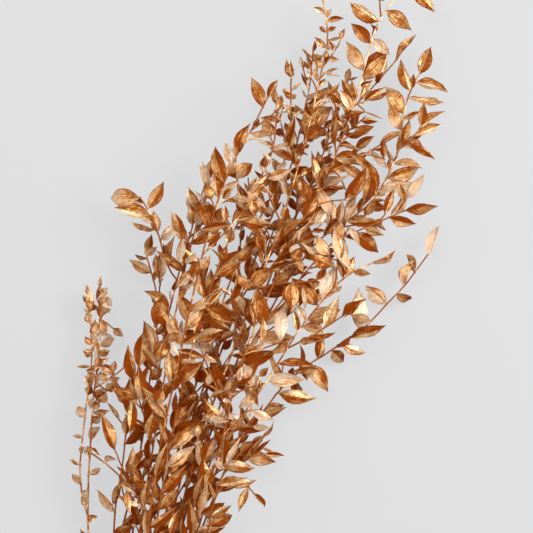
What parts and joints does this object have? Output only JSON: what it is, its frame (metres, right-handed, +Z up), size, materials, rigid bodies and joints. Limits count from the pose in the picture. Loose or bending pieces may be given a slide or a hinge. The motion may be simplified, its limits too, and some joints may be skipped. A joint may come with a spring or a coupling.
{
  "type": "dried ruscus bunch",
  "caption": "Tied bunch of dried, copper-gold sprayed ruscus stems with leafy side twigs, lying flat on a surface",
  "frame": {"origin": "on the surface the bunch lies on, under the middle of its outline", "axes": "+Y runs from the cut ends to the leafy tips, +X to the bunch's right as seen from above, +Z up"},
  "size_m": [0.3862, 0.8392, 0.1209],
  "materials": {
    "painted_leaf": "dry leaf and stem under copper-gold metallic spray paint, satin",
    "twine": "plain natural twine, matt"
  },
  "bodies": {
    "root": {"stem_01": "painted_leaf", "stem_02": "painted_leaf", "stem_03": "painted_leaf", "stem_04": "painted_leaf", "stem_05": "painted_leaf", "stem_06": "painted_leaf", "stem_07": "painted_leaf", "stem_08": "painted_leaf", "stem_09": "painted_leaf", "stem_10": "painted_leaf", "stem_11": "painted_leaf", "stem_12": "painted_leaf", "stem_13": "painted_leaf", "stem_14": "painted_leaf", "stem_15": "painted_leaf", "stem_16": "painted_leaf", "stem_17": "painted_leaf", "stem_18": "painted_leaf", "stem_19": "painted_leaf", "twine_tie": "twine"}
  },
  "joints": []
}
